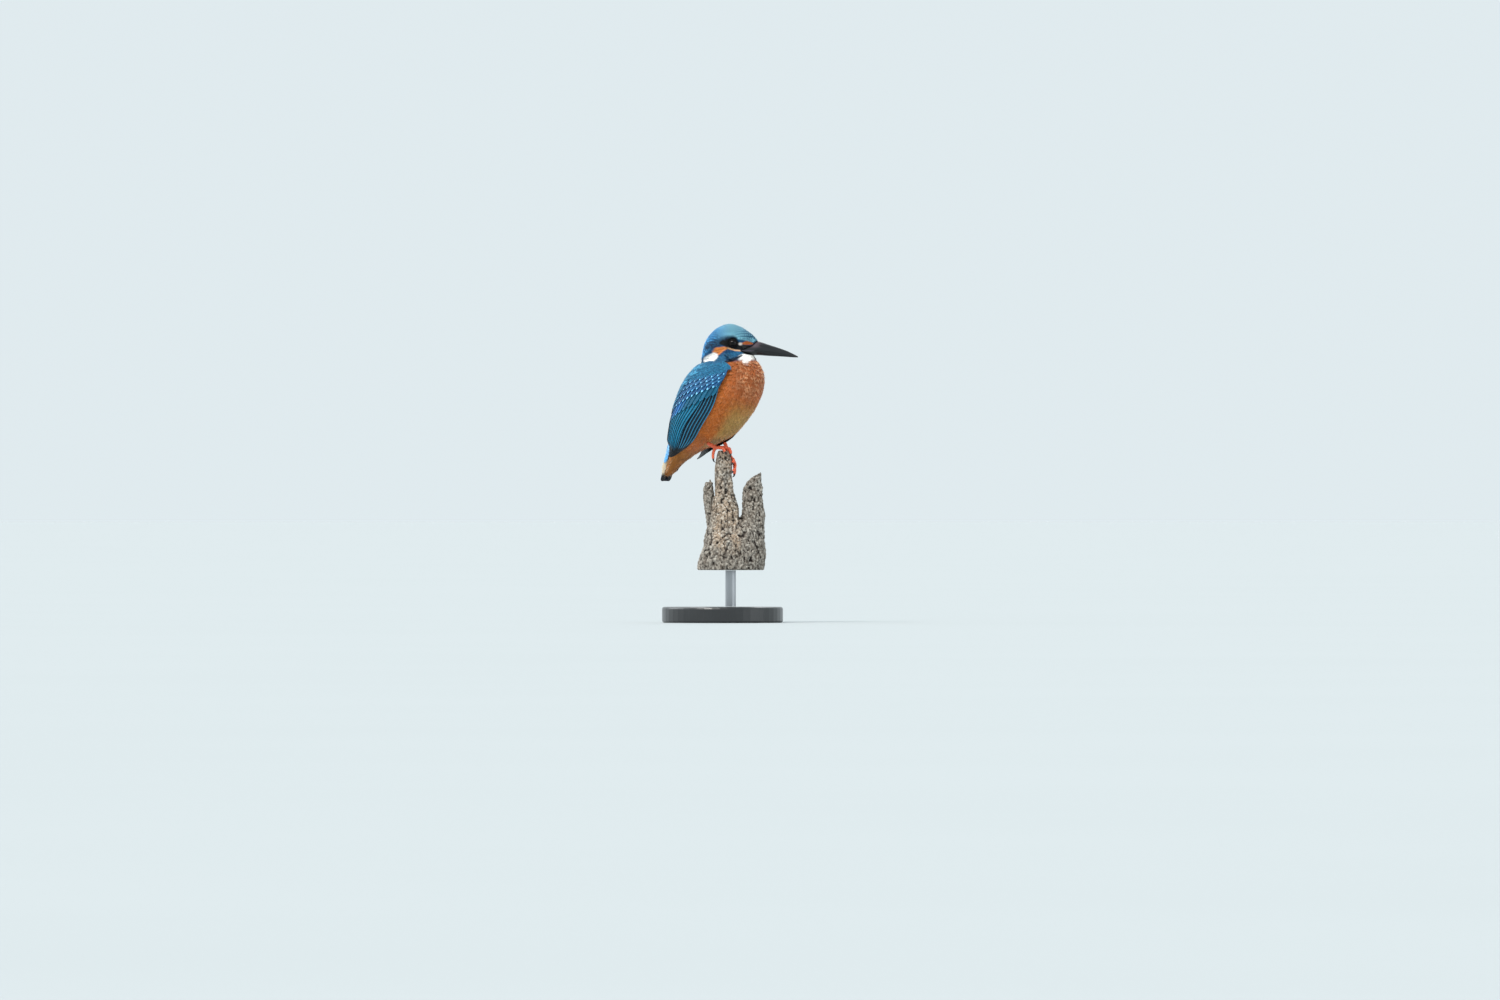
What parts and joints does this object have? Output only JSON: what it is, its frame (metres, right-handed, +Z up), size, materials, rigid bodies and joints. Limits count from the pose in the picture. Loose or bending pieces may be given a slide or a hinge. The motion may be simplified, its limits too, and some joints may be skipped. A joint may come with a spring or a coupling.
{
  "type": "common kingfisher on a perch",
  "caption": "Life-size still model of a common kingfisher gripping a short length of broken dead wood, held up by a plain display stand.",
  "frame": {"origin": "middle of the stand's underside", "axes": "+Z up, +X the way the bird's breast faces, +Y its left; the head is turned 40 degrees to its left"},
  "size_m": [0.1054, 0.092, 0.2274],
  "materials": {
    "blue_plumage": "soft",
    "orange_plumage": "soft",
    "horn": "satin",
    "eye": "wet gloss",
    "leg_skin": "scaly, satin",
    "weathered_wood": "rough, weathered",
    "stand_lacquer": "satin black lacquer",
    "rod_steel": "brushed"
  },
  "bodies": {
    "root": {"head": "blue_plumage", "neck": "orange_plumage", "trunk": "orange_plumage", "wing_left": "blue_plumage", "wing_right": "blue_plumage", "tail": "blue_plumage", "upper_bill": "horn", "lower_bill": "horn", "eye_left": "eye", "eye_right": "eye", "leg_left": "leg_skin", "leg_right": "leg_skin", "claw_left_hallux": "horn", "claw_left_inner": "horn", "claw_left_middle": "horn", "claw_left_outer": "horn", "claw_right_hallux": "horn", "claw_right_inner": "horn", "claw_right_middle": "horn", "claw_right_outer": "horn", "perch": "weathered_wood", "stand_rod": "rod_steel", "stand_base": "stand_lacquer"}
  },
  "joints": []
}
